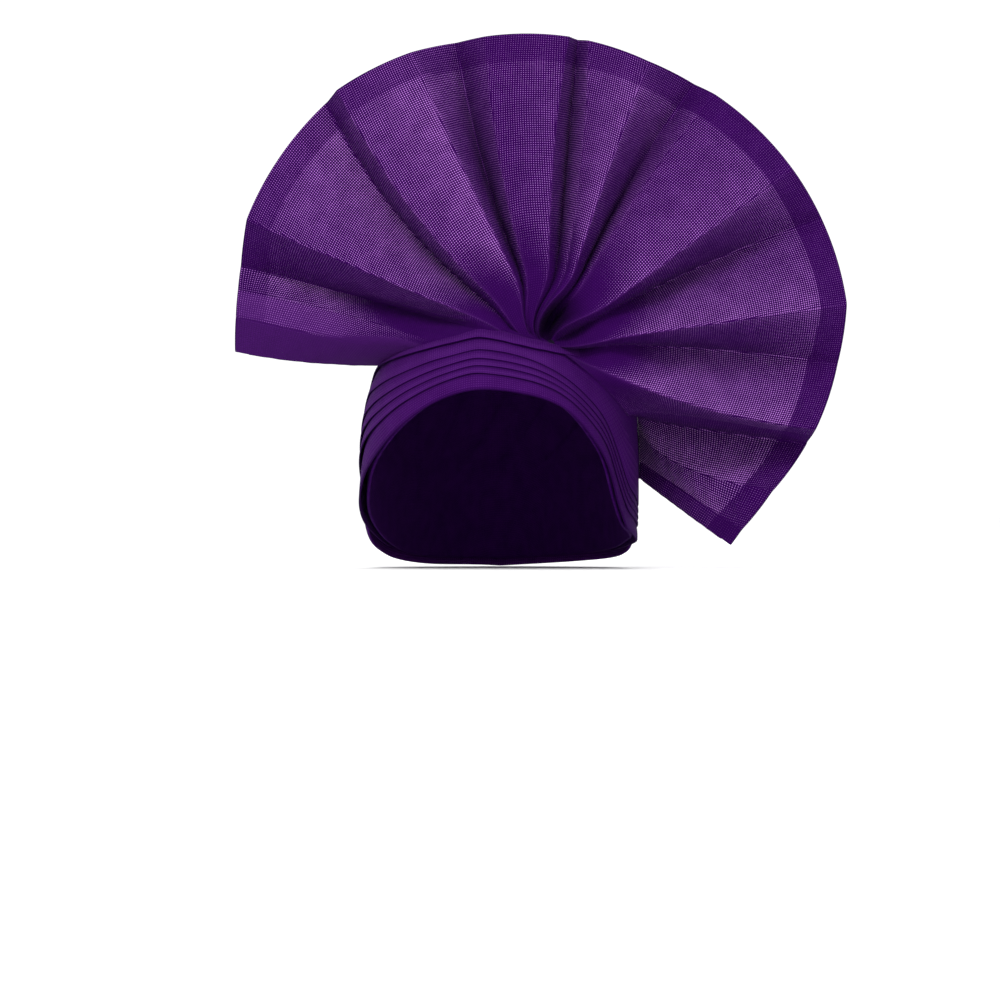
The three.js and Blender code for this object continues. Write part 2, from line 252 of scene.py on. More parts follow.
# A sheet as a mesh. Stretches lists the first and last column of each flat stretch, laid gives cloth
# coordinates in place of the sheet's own, and the material reads sheer, which sets the painted light
# in the net's holes, the painted highlight and the painted shade.
def clothMesh(name, sheet, stretches=None, sheer=0, paintedHighlight=0, shade=0, wrapped=False, laid=None):
    columns, rows = sheet.shape[:2]
    number = np.arange(columns * rows).reshape(columns, rows)
    quads = []
    places = []
    closing = [(columns - 1, columns)] if wrapped else []
    for first, last in (stretches or [(0, columns - 1)]) + closing:
        ids = np.arange(first, last + 1) % columns
        uv = clothPlaces(sheet[ids]) if laid is None else laid[ids]
        n = number[ids]
        quads.append(np.stack([n[:-1, :-1], n[:-1, 1:], n[1:, 1:], n[1:, :-1]], -1).reshape(-1, 4))
        corners = [uv[:-1, :-1], uv[:-1, 1:], uv[1:, 1:], uv[1:, :-1]]
        places.append(np.stack(corners, -2).reshape(-1, 2))
    mesh = bpy.data.meshes.new(name)
    faces = np.concatenate(quads)
    mesh.vertices.add(columns * rows)
    mesh.vertices.foreach_set("co", (sheet * mm).astype(np.float32).ravel())
    mesh.loops.add(faces.size)
    mesh.loops.foreach_set("vertex_index", faces.astype(np.int32).ravel())
    mesh.polygons.add(len(faces))
    mesh.polygons.foreach_set("loop_start", np.arange(0, faces.size, 4, dtype=np.int32))
    layer = mesh.uv_layers.new(name="cloth")
    layer.data.foreach_set("uv", np.concatenate(places).astype(np.float32).ravel())
    for key, values in (("sheer", sheer), ("paintedHighlight", paintedHighlight), ("shade", shade)):
        attribute = mesh.attributes.new(key, "FLOAT", "POINT")
        full = np.broadcast_to(values, (columns, rows))
        attribute.data.foreach_set("value", full.astype(np.float32).ravel())
    mesh.update()
    mesh.validate()
    mesh.polygons.foreach_set("use_smooth", np.ones(len(faces), bool))
    obj = bpy.data.objects.new(name, mesh)
    bpy.context.collection.objects.link(obj)
    return obj


def thicken(obj, thickness, offset):
    solid = obj.modifiers.new("thickness", "SOLIDIFY")
    solid.thickness = thickness * mm
    solid.offset = offset


# Gives a piece of cloth its material, attaches it to the root and hides the solids it stands for
def dress(obj, piece):
    obj.data.materials.append(piece["material"])
    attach(obj, "root")
    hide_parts(*piece["nodes"])
    print("made", obj.name, len(obj.data.polygons), "faces")


# The net, with its lengths in threads. Its holes are nearly opaque and are painted a pale tone for light
# seen through the net; a hole is closed where the piece's sheer is 0.
net = {
    "holeEdge": 0.04, "gap": (0.14, 0.3), "raised": (0.25, 0.95), "patch": (0.3, 0.7),
    "patchScale": 0.11, "speckScale": 0.9, "fibreScale": 3.1,
    "threadRelief": 0.8, "fibreRelief": 0.35, "reliefDepth": 0.0004, "threadShine": 0.5,
    "rough": 0.7, "roughSpread": 0.2, "ior": 1.06,
    "sheen": 0.02, "sheenRough": 0.35, "sheenTint": (0.62, 0.35, 0.85, 1),
}


def netMaterial(name, look):
    g = Graph(name)
    uv = g.node("UVMap", settings={"uv_map": "cloth"})
    drift = g.node("TexNoise", out="Color", Vector=uv, Scale=look["driftScale"], Detail=1.0)
    settings = {"operation": "MULTIPLY_ADD"}
    drifted = g.node("VectorMath", settings=settings, i0=drift, i1=look["drift"], i2=uv)
    u = g.node("SeparateXYZ", Vector=drifted)
    v = Socket(g, u.out.node.outputs["Y"])
    warp = abs(g.math("FRACT", u) - 0.5)
    weft = abs(g.math("FRACT", v) - 0.5)
    patch = g.node("TexNoise", Vector=uv, Scale=net["patchScale"], Detail=3.0)
    speck = g.node("TexNoise", Vector=uv, Scale=net["speckScale"], Detail=1.0)
    fibre = g.node("TexNoise", Vector=uv, Scale=net["fibreScale"], Detail=4.0)
    # Square holes between the threads, a little uneven
    edge = net["holeEdge"]
    opening = look["hole"] * (g.attribute("sheer") ** 0.5) * (0.72 + 0.56 * patch) * (0.8 + 0.4 * speck)
    hole = g.step(opening - warp, -edge, edge) * g.step(opening - weft, -edge, edge)
    # Rounded threads that go over and under each other by turns
    warpTop = 1 - 4 * warp * warp
    weftTop = 1 - 4 * weft * weft
    over = g.math("FRACT", (g.math("FLOOR", u) + g.math("FLOOR", v)) * 0.5) > 0.25
    height = g.math("MAXIMUM", (1 - warpTop) * (0.55 + 0.45 * over), (1 - weftTop) * (1 - 0.45 * over))
    gap = (1 - g.step(warp, *net["gap"])) * (1 - g.step(weft, *net["gap"]))
    tone = g.mix(g.step(patch, *net["patch"]), look["dark"], look["light"])
    # Painted highlight: the tops of the raised threads are paler, as if shining
    tone = g.mix(g.step(height, *net["raised"]) * net["threadShine"], tone, look["threadShineTone"])
    tone = g.mix(gap * look["speckle"] * (0.7 + 0.6 * speck), tone, look["speck"])
    # Painted highlight along ridges, rolled edges, doubled margins and the free edge
    tone = g.mix(g.attribute("paintedHighlight") * look["edge"], tone, look["speck"])
    # Painted shade in valleys, creases, under folds and in the pocket at the gather
    tone = g.mix(g.attribute("shade") * look["shade"], tone, look["deep"])
    # Painted light: the holes take a pale tone for light seen through the net
    tone = g.mix(hole, tone, look["paintedLightThrough"])
    relief = height * net["threadRelief"] + fibre * net["fibreRelief"]
    normal = g.node("Bump", Height=relief, Strength=look["bump"], Distance=net["reliefDepth"])
    rough = net["rough"] + (fibre - 0.5) * net["roughSpread"]
    shader = g.node(
        "BsdfPrincipled", Base_Color=tone, Roughness=rough, Normal=normal, Alpha=1 - hole * look["clear"],
        IOR=net["ior"], Sheen_Weight=net["sheen"], Sheen_Roughness=net["sheenRough"],
        Sheen_Tint=net["sheenTint"])
    g.node("OutputMaterial", Surface=shader)
    return g.material


# A colour from its values on a screen
def colour(r, g, b):
    linear = [c / 255 / 12.92 if c < 10 else ((c / 255 + 0.055) / 1.055) ** 2.4 for c in (r, g, b)]
    return (*linear, 1)


fanNet = netMaterial("fanNet", {
    "driftScale": 0.06, "drift": (0.9, 0.9, 0), "hole": 0.26, "clear": 0.02, "bump": 0.7,
    "dark": colour(36, 1, 61), "light": colour(41, 2, 67), "threadShineTone": colour(46, 5, 74),
    "speck": colour(73, 29, 99), "paintedLightThrough": colour(162, 101, 188), "deep": colour(14, 0, 28),
    "speckle": 0.3, "edge": 0.6, "shade": 0.9,
})
bandNet = netMaterial("bandNet", {
    "driftScale": 0.06, "drift": (0.7, 0.7, 0), "hole": 0.0, "clear": 0.0, "bump": 0.8,
    "dark": colour(41, 1, 65), "light": colour(48, 5, 74), "threadShineTone": colour(59, 15, 87),
    "speck": colour(87, 40, 116), "paintedLightThrough": colour(89, 53, 112), "deep": colour(26, 0, 48),
    "speckle": 0.5, "edge": 0.15, "shade": 0.95,
})
crownNet = netMaterial("crownNet", {
    "driftScale": 0.05, "drift": (0.8, 0.8, 0), "hole": 0.0, "clear": 0.0, "bump": 0.8,
    "dark": colour(34, 0, 60), "light": colour(42, 2, 70), "threadShineTone": colour(50, 6, 80),
    "speck": colour(70, 30, 97), "paintedLightThrough": colour(72, 34, 98), "deep": colour(11, 0, 23),
    "speckle": 0.35, "edge": 0.3, "shade": 0.8,
})
print("materials made")


# The band. Its lines run round the head: the brow's edge, the last fold and the upper edge that the fan
# covers, as shares of the crown's height.
bandRows = table("turn brow fold cover", [
    (-180, 1.44, 1.06, 1.06), (-130, 1.38, 1.03, 1.03), (-112, 1.28, 0.88, 0.82),
    (-100, 1.21, 0.66, 0.55), (-92, 1.15, 0.44, 0.38), (-85, 1.08, 0.315, 0.315),
    (-72, 0.925, 0.275, 0.275), (-59, 0.8, 0.243, 0.243), (-43, 0.65, 0.208, 0.208),
    (-26, 0.521, 0.17, 0.17), (-8, 0.452, 0.142, 0.142), (8, 0.475, 0.175, 0.182),
    (18, 0.51, 0.225, 0.24), (25, 0.553, 0.275, 0.26), (38, 0.709, 0.4, 0.285),
    (49, 0.904, 0.56, 0.31), (55, 1.08, 0.7, 0.325), (62, 1.21, 0.86, 0.35),
    (75, 1.287, 0.99, 0.41), (90, 1.32, 1.05, 0.54), (108, 1.35, 1.09, 0.8),
    (130, 1.39, 1.1, 1.02), (180, 1.44, 1.06, 1.06),
])
# Edges: each pleat's lower edge between the brow's edge and the last fold. Flats: the strips' widths.
band = {
    "edges": [0, 0.327, 0.467, 0.607, 0.776], "flats": [0.019, 0.013, 0.013, 0.014, 0.028],
    "end": 125, "columns": 301, "lift": 2.1, "lie": 0.7, "lap": 0.045, "bulge": 0.35, "wander": 0.35,
    "curl": 0.5, "turnBack": 3.5, "tuckIn": 0.9, "seen": 1.03, "seenAtBrow": 0.35, "seed": 40,
}
# Painted shade: lines between the folds, and where to the right they fade and the cloth is painted darker
bandTone = {"lineWidth": 0.6, "rightFrom": 12, "rightOver": 30, "lineFade": 0.7, "rightShade": 0.4}
stripRows = {"fall": 12, "curl": 7, "back": 3}
peak = {"turn": -10.6, "rise": 1.4, "reach": 8, "soft": 3}
bunch = {"turn": -84, "reach": 17, "lift": 1.5, "lie": 1.3}
topFold = {"below": 0.4, "over": 0.9, "rise": 4, "riseFrom": 4, "riseOver": 18, "flat": 0.014}


def bandDrop(turn, column):
    return head["crown"] * along(bandRows, "turn", column, turn)


# A strip on the crown: its cloth comes down to a rounded lower edge and turns back up under itself
def foldedStrip(turns, lower, upper, lift, lie, sink, seed):
    thick, curl = wall["pleat"], band["curl"]
    height = lower - upper
    drop, stand = [], []
    for share in np.linspace(1, 0, stripRows["fall"] + 1)[:-1] ** 0.8:
        bulge = band["bulge"] * np.sin(np.pi * share) ** 0.8
        drop.append(lower - height * share)
        stand.append(lie + (lift - lie) * (1 - share) + thick + bulge - sink * max(share - 0.7, 0) / 0.3)
    for a in np.radians(np.linspace(0, 180, stripRows["curl"])):
        drop.append(lower + curl * np.sin(a))
        stand.append(lift + thick - curl * (1 - np.cos(a)))
    for share in np.linspace(0, 1, stripRows["back"] + 1)[1:]:
        drop.append(lower - band["turnBack"] * share)
        stand.append(lift + thick - 2 * curl - 0.4 * share)
    wander = band["wander"] * waves((len(turns), 1), seed, 9)[:, 0] * np.minimum(height / 8, 1)
    drop = np.stack(drop, 1) + wander[:, None]
    stand = np.stack(stand, 1)
    return wrapPoint(turns[:, None] + 0 * drop, drop, wall["crown"] + stand), drop


# A fold standing off the head is seen higher than the place it lies over
def seenLower(turns, drop, share=band["seen"]):
    upward = headNormal(headPoint(turns, drop))[0][..., 2]
    return drop + share * (wall["crown"] + band["lift"] + wall["pleat"]) * upward


# The fold with its painted highlight and painted shade. Number 5 is the thin fold above the last pleat.
def bandFold(index):
    turns = np.linspace(-band["end"], band["end"], band["columns"])
    brow, fold, cover = (bandDrop(turns, column) for column in ("brow", "fold", "cover"))
    raised = peak["rise"] * np.exp(-np.hypot(turns - peak["turn"], peak["soft"]) / peak["reach"])
    edges = [brow + (fold - brow) * share - raised * (share > 0) for share in band["edges"]]
    higher = topFold["rise"] * smooth((turns - topFold["riseFrom"]) / topFold["riseOver"])
    edges.append(cover + topFold["below"] - raised - higher)
    isThin = index == len(band["edges"])
    isTop = isThin or index == len(band["edges"]) - 1
    lower = seenLower(turns, edges[index], band["seen"] if index else band["seenAtBrow"])
    nextEdge = cover - 9 if isThin else seenLower(turns, edges[index + 1])
    upper = np.minimum(cover, edges[-1]) - 3 if isTop else nextEdge + (fold - brow) * band["lap"]
    gathered = np.exp(-(((turns - bunch["turn"]) / bunch["reach"]) ** 2))
    over = topFold["over"] * isThin
    lift = band["lift"] + over + bunch["lift"] * gathered
    lie = band["lie"] + 0.6 * over + bunch["lie"] * gathered * min(index, 4) / 4
    sink = (band["tuckIn"] + bunch["lie"] * gathered) * isTop
    sheet, drop = foldedStrip(turns, lower, upper, lift, lie, sink, band["seed"] + index)
    # Painted shade: a line below the next fold's edge and a darker cloth to the right; the turned-back
    # cloth under the rounded edge is fully shaded
    toRight = smooth((turns - bandTone["rightFrom"]) / bandTone["rightOver"])[:, None]
    fade = 1 - bandTone["lineFade"] * toRight
    line = np.exp(-np.maximum(drop - nextEdge[:, None] - 0.5, 0) / bandTone["lineWidth"])
    shade = line * fade + bandTone["rightShade"] * toRight * (1 - line)
    shade[:, stripRows["fall"] + 2 :] = 1
    paintedHighlight = np.zeros(sheet.shape[:2])
    # A painted highlight along the rounded lower edge; on the lowest pleat that edge is painted in shade
    # instead
    if index:
        paintedHighlight[:, stripRows["fall"] - 4 : stripRows["fall"] + 3] = [0.1, 0.3, 0.7, 1, 0.7, 0.3, 0]
    else:
        shade[:, stripRows["fall"] :] = 0.7
    return {"sheet": sheet, "paintedHighlight": paintedHighlight * fade, "shade": shade}


def browPleat(index):
    dress(clothMesh(f"browPleat{index + 1}", **bandFold(index)), {
        "material": bandNet, "nodes": [f"brow_pleat_{index + 1}"], "slot": "band_cloth",
        "flat": (0.42, band["flats"][index]), "held": "folded", "restsOn": ["crownTurns"],
    })


# The top of the last pleat is folded once more, close under the fan
def browTopFold():
    dress(clothMesh("browTopFold", **bandFold(len(band["edges"]))), {
        "material": bandNet, "nodes": ["brow_pleat_5"], "slot": "band_cloth",
        "flat": (0.42, topFold["flat"]), "held": "folded", "restsOn": ["browPleat5"],
    })


# The turn round the back, in lapped folds, that covers the pleats' ends
nape = {
    "start": 113, "height": 46, "below": 3, "columns": 221, "rows": 101, "thickness": 1.2,
    "overPleats": 5.4, "overCrown": 1.5, "least": 1, "settle": 20,
    "lean": 0.85, "leanFrom": 115, "leanTop": 0.7,
    "folds": 5, "stand": 1.5, "lap": 0.08, "wander": 0.22, "uneven": 0.3, "seed": 7, "lineWidth": 0.8,
    "corner": 8, "cornerOver": 3, "slant": 5, "slantOver": 12, "flat": (0.24, 0.05),
}


def napeTurn():
    start, height = nape["start"], nape["height"]
    turns = np.linspace(start, 360 - start, nape["columns"])
    side = np.where(turns > 180, turns - 360, turns)
    shares = np.linspace(0, 1, nape["rows"])[None, :]
    fromEnd = np.minimum(turns - start, 360 - start - turns)[:, None]
    # Over the pleats' ends it stands off, and its upper edge leans in to the crown
    past = smooth((np.abs(side) - band["end"] - 4) / nape["settle"])
    lean = nape["lean"] * smooth((np.abs(side)[:, None] - nape["leanFrom"]) / 10)
    lean = lean * smooth((shares - nape["leanTop"]) / (1 - nape["leanTop"]))
    stand = nape["overPleats"] + (nape["overCrown"] - nape["overPleats"]) * past
    stand = nape["least"] + (stand - nape["least"])[:, None] * (1 - lean)
    corner = nape["corner"] * np.exp(-fromEnd / nape["cornerOver"])
    lower = bandDrop(side, "brow")[:, None] + nape["below"]
    level = lower - corner - (height - 2 * corner) * shares
    drift = 0.6 * np.sin(np.radians(turns * 3 + 40)) + 0.4 * np.sin(np.radians(turns * 7.3))
    fold = nape["folds"] * shares + nape["wander"] * drift[:, None] * np.sin(np.pi * shares)
    inFold = fold % 1
    step = nape["stand"] * (1 - inFold) ** 0.8 * smooth(inFold / nape["lap"] + 0.3) * (1 - 0.6 * lean)
    uneven = nape["uneven"] * waves(level.shape, nape["seed"], 3)
    standOff = wall["crown"] + stand + step + uneven
    slant = nape["slant"] * shares * np.exp(-fromEnd / nape["slantOver"])
    slant = slant * np.where(turns > 180, -1, 1)[:, None]
    sheet = wrapPoint(turns[:, None] + slant, level, standOff)
    # Painted shade under each fold's lower edge, and a painted highlight along that edge
    under = np.exp(-(1 - inFold) * height / nape["folds"] / nape["lineWidth"]) * (shares < 0.97)
    obj = clothMesh("napeTurn", sheet, paintedHighlight=0.8 * np.exp(-((inFold - 0.05) / 0.05) ** 2), shade=under)
    thicken(obj, nape["thickness"], -1)
    dress(obj, {
        "material": bandNet, "nodes": ["nape_wrap"], "slot": "crown_cloth",
        "flat": nape["flat"], "held": "folded", "restsOn": ["crownTurns"],
    })


# The crown, whose cloth is laid over the top and drawn in soft creases towards the gather
crown = {
    "columns": 320, "rows": 101, "thickness": 1.4, "middle": 0.8, "shortOfBrow": 1.8,
    "creases": 15, "depth": 2.0, "sharp": 0.55, "clear": 10, "lowest": 88, "centre": (0, 0, -55),
    "begin": (0.25, 0.6), "ease": (1.7, 0.9), "shadeWidth": 0.22, "paintedHighlight": 0.25, "flat": (0.5, 0.15),
}


def crownTurns():
    turns = np.linspace(-180, 180, crown["columns"] + 1)[:-1]
    edge = (bandDrop(turns, "brow") - crown["shortOfBrow"] * smooth((120 - np.abs(turns)) / 20))[:, None]
    # Rows an even way apart along the cloth, from the top of the head to the edge
    fine = edge * np.linspace(0, 1, 600)[None, :] ** 3
    length = arcs(wrapPoint(turns[:, None] + 0 * fine, fine, crown["middle"] + 0 * fine), 1)
    share = np.linspace(0, 1, crown["rows"])
    drop = np.stack([np.interp(share * far[-1], far, places) for far, places in zip(length, fine)])
    out = share[None, :] * length[:, -1:]
    around = np.radians(turns)[:, None]
    laid = np.stack([out * np.sin(around), out * np.cos(around)], -1) / threadPitch
    sheet = wrapPoint(turns[:, None] + 0 * drop, np.maximum(drop, 1e-6), crown["middle"] + 0 * drop)
    # Bearing round the gather and distance from it, seen from a point in the head
    centre = np.array(crown["centre"])
    pull = gatherPlace - centre
    pull = pull / np.linalg.norm(pull)
    ray = sheet - centre
    ray = ray / np.linalg.norm(ray, axis=-1, keepdims=True)
    sideways = np.cross(pull, [0, 0, 1.0])
    sideways = sideways / np.linalg.norm(sideways)
    bearing = np.arctan2(ray @ np.cross(pull, sideways), ray @ sideways)
    distance = np.arccos(np.clip(ray @ pull, -1, 1))
    phase = bearing * crown["creases"] / (2 * np.pi) + 0.35 * np.sin(2.2 * distance + 2 * bearing)
    ridge = np.abs(np.sin(np.pi * phase)) ** crown["sharp"]
    size = 0.65 + 0.35 * np.sin(3 * bearing + 1) * np.cos(5 * bearing)
    (begin, beginOver), (ease, easeOver) = crown["begin"], crown["ease"]
    reach = smooth((distance - begin) / beginOver) * (1 - 0.6 * smooth((distance - ease) / easeOver))
    # Creases end before the band and the nape turn
    covered = np.minimum(bandDrop(turns, "cover"), crown["lowest"])[:, None]
    height = crown["depth"] * size * reach * smooth((covered - drop - 3) / crown["clear"])
    sheet = sheet + headNormal(sheet)[0] * (ridge * height)[..., None]
    # Painted shade in the creases and a painted highlight on their ridges
    shade = np.exp(-ridge / crown["shadeWidth"]) * np.clip(height, 0, 1)
    paintedHighlight = crown["paintedHighlight"] * ridge**3 * np.clip(height, 0, 1)
    obj = clothMesh("crownTurns", sheet, wrapped=True, laid=laid, shade=shade, paintedHighlight=paintedHighlight)
    thicken(obj, crown["thickness"], 0)
    dress(obj, {
        "material": crownNet, "nodes": ["crown_wrap"], "slot": "crown_cloth",
        "flat": crown["flat"], "held": "gathered", "restsOn": ["browPleat1"],
    })


# The fan. Turn, reach and back place a fold as the solids have it, at its middle and its rim. Foot is
# where it lies on the wrap, on the crown where over is 0 and on the band where it is 1. A fold without
# a foot enters the gather at its rootTurn. Sheer is how open the net is in the panel that follows, and
# so how much painted light shows in its holes.
foldRows = table(
    "fold over footTurn footDrop midTurn midReach midBack rimTurn rimReach rimBack sheer rootTurn", [
        ("left_edge", 0.9, -84, 0.32, 183.8, 0.815, 0.31, 181, 1.053, 0.33, 0.02, None),
        ("left_lip", 0.7, -60, 0.251, 177.5, 0.77, 0.2, 174.7, 1.05, 0.24, 0.4, None),
        ("left_hem", 0.6, -36, 0.2, 171, 0.72, 0.22, 169.7, 1.057, 0.28, 1, None),
        ("left_valley", 0.6, -9, 0.152, 165.5, 0.63, 0.24, 165.5, 1.067, 0.32, 0.15, None),
        ("ridge_1", 0, None, None, 158.9, 0.55, 0.03, 157.4, 1.093, 0.2, 0.95, 214),
        ("valley_1", 0, None, None, 141, 0.55, 0.19, 132.5, 1.105, 0.3, 0.32, 213),
        ("ridge_2", 0, None, None, 137, 0.55, 0.02, 129.8, 1.107, 0.2, 0.9, 212),
        ("ridge_3", 0, None, None, 116.4, 0.54, 0.02, 115.3, 1.08, 0.2, 0.15, 210),
        ("valley_2", 0, None, None, 110.8, 0.54, 0.2, 107, 1.063, 0.31, 0.3, 209),
        ("ridge_4", 0, None, None, 106.2, 0.53, 0.06, 101.6, 1.053, 0.22, 0.38, 208),
        ("ridge_5", 0, None, None, 89.4, 0.52, 0.04, 86.4, 1.032, 0.21, 0.35, 205),
        ("valley_3", 0, None, None, 84.5, 0.52, 0.19, 84.6, 1.029, 0.29, 0.5, 204),
        ("ridge_6", 0, None, None, 79.5, 0.51, 0.08, 82.6, 1.027, 0.24, 0.66, 203),
        ("ridge_7", 0, None, None, 71.4, 0.5, 0.02, 70.8, 1.002, 0.19, 0.12, 196),
        ("valley_4", 0, None, None, 64.5, 0.5, 0.19, 61, 1.003, 0.31, 0.35, 150),
        ("ridge_8", 0, None, None, 60, 0.5, 0.1, 56.7, 1.006, 0.25, 0.6, 115),
        ("ridge_9", 0, None, None, 35, 0.5, 0.02, 36, 1, 0.19, 0.08, 77),
        ("valley_5", 0, None, None, 28.2, 0.5, 0.2, 25, 1.008, 0.31, 0.75, 30),
        ("ridge_10", 0, None, None, 6.8, 0.5, 0.02, 7.9, 1, 0.19, 0.08, -20),
        ("valley_6", 0.3, None, None, -1, 0.49, 0.21, -3.5, 0.967, 0.3, 0.88, -28),
        ("ridge_11", 0.7, None, None, -23.5, 0.48, 0.07, -17.5, 0.93, 0.2, 0.1, -38),
        ("shoulder", 1, 65, 0.6, -28, 0.5, 0.22, -19, 0.927, 0.26, 0.1, None),
        ("right_valley", 1, 90, 0.6, -30.8, 0.52, 0.39, -20.6, 0.922, 0.33, 1, None),
        ("right_flap", 1, 94, 0.66, -42, 0.6, 0.34, -33, 0.887, 0.24, 0.9, None),
        ("right_hem", 1, 96.5, 0.86, -46.5, 0.69, 0.35, -43.8, 0.888, 0.27, 0.25, None),
        ("right_edge", 1, 97, 0.955, -50.8, 0.712, 0.37, -47.7, 0.9, 0.29, 0.25, None),
    ])
foldNames = [row["fold"] for row in foldRows]
foldNumbers = np.arange(len(foldRows))
# How far folds stand out towards the front just outside the gather, millimetres
rootStand = {
    "ridge_1": 4, "ridge_2": 2, "ridge_3": 2, "ridge_5": 2, "ridge_7": 9, "valley_4": -12, "ridge_8": -13,
    "ridge_9": 9, "valley_5": -6, "ridge_10": 8, "valley_6": -5, "ridge_11": 2,
}
rest = {"crown": 1.3, "band": 4.6}
cone = {"foldedFrom": 0.42, "back": 0.26}
spread = {"ring": 1.3, "reach": 48, "crest": 15}
fan = {
    "columns": 600, "rows": 150, "closer": 1.15, "rounded": 0.9,
    "bow": 1.1, "uneven": 0.55, "seed": 11, "flat": (0.62, 0.17),
}


def fanPlace(turn, reach, back):
    turn = np.radians(turn)
    x = gatherPlace[0] + fanRadius * reach * np.cos(turn)
    z = gatherPlace[2] + fanRadius * reach * np.sin(turn)
    return np.stack([x, gatherPlace[1] + fanRadius * back, z], -1)


def isSeated(row):
    return row["footTurn"] is not None


def footOf(row):
    if isSeated(row):
        return row["footTurn"], row["footDrop"] * head["crown"]
    around = np.radians(90 + (row["midTurn"] - 90) * spread["ring"])
    x = gatherPlace[0] + gather["ring"] * np.cos(around)
    drop = gather["drop"] - gather["ring"] * np.sin(around)
    across = x / ((head["breadth"] / 2 + wall["crown"]) * levelShare(drop))
    return np.degrees(np.arcsin(across ** (head["ring"] / 2))), drop


# At each column of the fan: its foot's turn and drop, how far it rests off the crown, and its seat
def feetAt(at):
    feet = np.array([footOf(row) for row in foldRows])
    turn, drop = (np.interp(at, foldNumbers, feet[:, k]) for k in (0, 1))
    over = np.interp(at, foldNumbers, [row["over"] for row in foldRows])
    seated = np.interp(at, foldNumbers, [float(isSeated(row)) for row in foldRows])
    return turn, drop, rest["crown"] + (rest["band"] - rest["crown"]) * over, seated


# The fan's columns: for each panel an even number of stations for its width
def fanStations():
    width = []
    for row, after in zip(foldRows, foldRows[1:]):
        a = fanPlace(row["midTurn"], row["midReach"], row["midBack"])
        b = fanPlace(after["midTurn"], after["midReach"], after["midBack"])
        width.append(np.linalg.norm(a - b))
    counts = np.maximum(np.round(np.array(width) / sum(width) * fan["columns"] / 2) * 2, 6).astype(int)
    places = [i + np.arange(n) / n for i, n in enumerate(counts)]
    ends = np.concatenate([[0], np.cumsum(counts)])
    stretches = [(int(a), int(b)) for a, b in zip(ends, ends[1:])]
    return np.concatenate(places + [[len(counts)]]), stretches


# Rounds the folds: a soft average over neighbouring columns
def blur(values, width):
    reach = int(3 * width) + 1
    kernel = np.exp(-0.5 * (np.arange(-reach, reach + 1) / width) ** 2)
    kernel = kernel / kernel.sum()
    first = 2 * values[:1] - values[reach:0:-1]
    last = 2 * values[-1:] - values[-2 : -reach - 2 : -1]
    padded = np.concatenate([first, values, last])
    return sum(k * padded[i : i + len(values)] for i, k in enumerate(kernel))


def fanSheet():
    at, stretches = fanStations()

    def lineOf(end):
        values = [np.interp(at, foldNumbers, [row[end + key] for row in foldRows])
                  for key in ("Turn", "Reach", "Back")]
        return fanPlace(*values)[:, None, :]

    turn, drop, restOn, seated = feetAt(at)
    seated = seated[:, None]
    foot = wrapPoint(turn, drop, wall["crown"] + restOn)[:, None, :]
    middle, rim = lineOf("mid"), lineOf("rim")
    t = np.linspace(0, 1, fan["rows"])[None, :, None] ** fan["closer"]
    p = foot * (1 - t) * (1 - 2 * t) + middle * 4 * t * (1 - t) + rim * t * (2 * t - 1)
    # Near the gather the folds lie on a plain cone, and stand out more and more from it
    t = t[..., 0]
    plain = foot[..., 1] + fanRadius * cone["back"] * t
    folded = plain + (p[..., 1] - plain) * smooth(t / cone["foldedFrom"])
    p[..., 1] = folded + (p[..., 1] - folded) * seated
    p = blur(p, fan["rounded"])
    p = bendRoots(p, at, seated)
    p = restOnCrown(p, np.repeat(restOn[:, None], fan["rows"], 1))
    # Panels bow a little and are never quite even
    bow = np.sin(np.pi * (at % 1))[:, None] * np.sin(np.pi * t**0.9)
    uneven = waves(p.shape[:2], fan["seed"], 14, 10) * smooth(t * 3)
    p = p + sheetNormals(p) * (fan["uneven"] * uneven - fan["bow"] * bow)[..., None]
    return p, stretches, at


# Close to the gather each fold swings round to where it enters it, and the ridges stand up
def bendRoots(p, at, seated):
    rooted = [k for k in foldNumbers if foldRows[k]["rootTurn"] is not None]
    root = np.interp(at, rooted, [foldRows[k]["rootTurn"] for k in rooted])[:, None]
    offset = p - gatherPlace
    radius = np.hypot(offset[..., 0], offset[..., 2])
    turn = np.degrees(np.arctan2(offset[..., 2], offset[..., 0]))
    turn = np.where(turn < -100, turn + 360, turn)
    near = np.clip(1 - radius / spread["reach"], 0, 1) ** 3 * (1 - seated)
    turn = np.radians(turn + (root - turn) * near)
    q = p.copy()
    q[..., 0] = gatherPlace[0] + radius * np.cos(turn)
    q[..., 2] = gatherPlace[2] + radius * np.sin(turn)
    stand = np.interp(at, foldNumbers, [rootStand.get(name, 0) for name in foldNames])
    out = (radius / spread["crest"]) ** 2
    q[..., 1] -= stand[:, None] * out * np.exp(1 - out) * (1 - seated)
    return q


fanPoints, fanStretches, fanAt = fanSheet()
fanOut = np.linalg.norm((fanPoints - gatherPlace)[..., [0, 2]], axis=-1)  # distance from the gather

# Distances in millimetres. Places across the fan count its folds, from 0 at the left edge.
openness = {
    "shutTo": 44, "fade": 36, "foldShorter": 22, "leftFolds": [2, 3, 3.4], "leftLonger": [36, 74, 0],
    "hemLeft": 0.5, "hemRight": 0.15, "hemChange": (12, 3), "turned": 0.3, "turnedOpens": (100, 60),
}
# Where the painted highlight falls: the doubled margin and the lip at the left, a line along the ridges
# and the free edge by the gather
margin = {"at": 1, "wider": 0.7, "from": 135, "over": 60, "paler": 0.6}
lip = {"first": 1, "last": 1.9, "from": 95, "over": 30}
lightLine = {"share": 0.8, "width": 0.04, "at": 40, "over": 50}
selvage = {"first": 0.04, "last": 0.3, "width": 0.8}
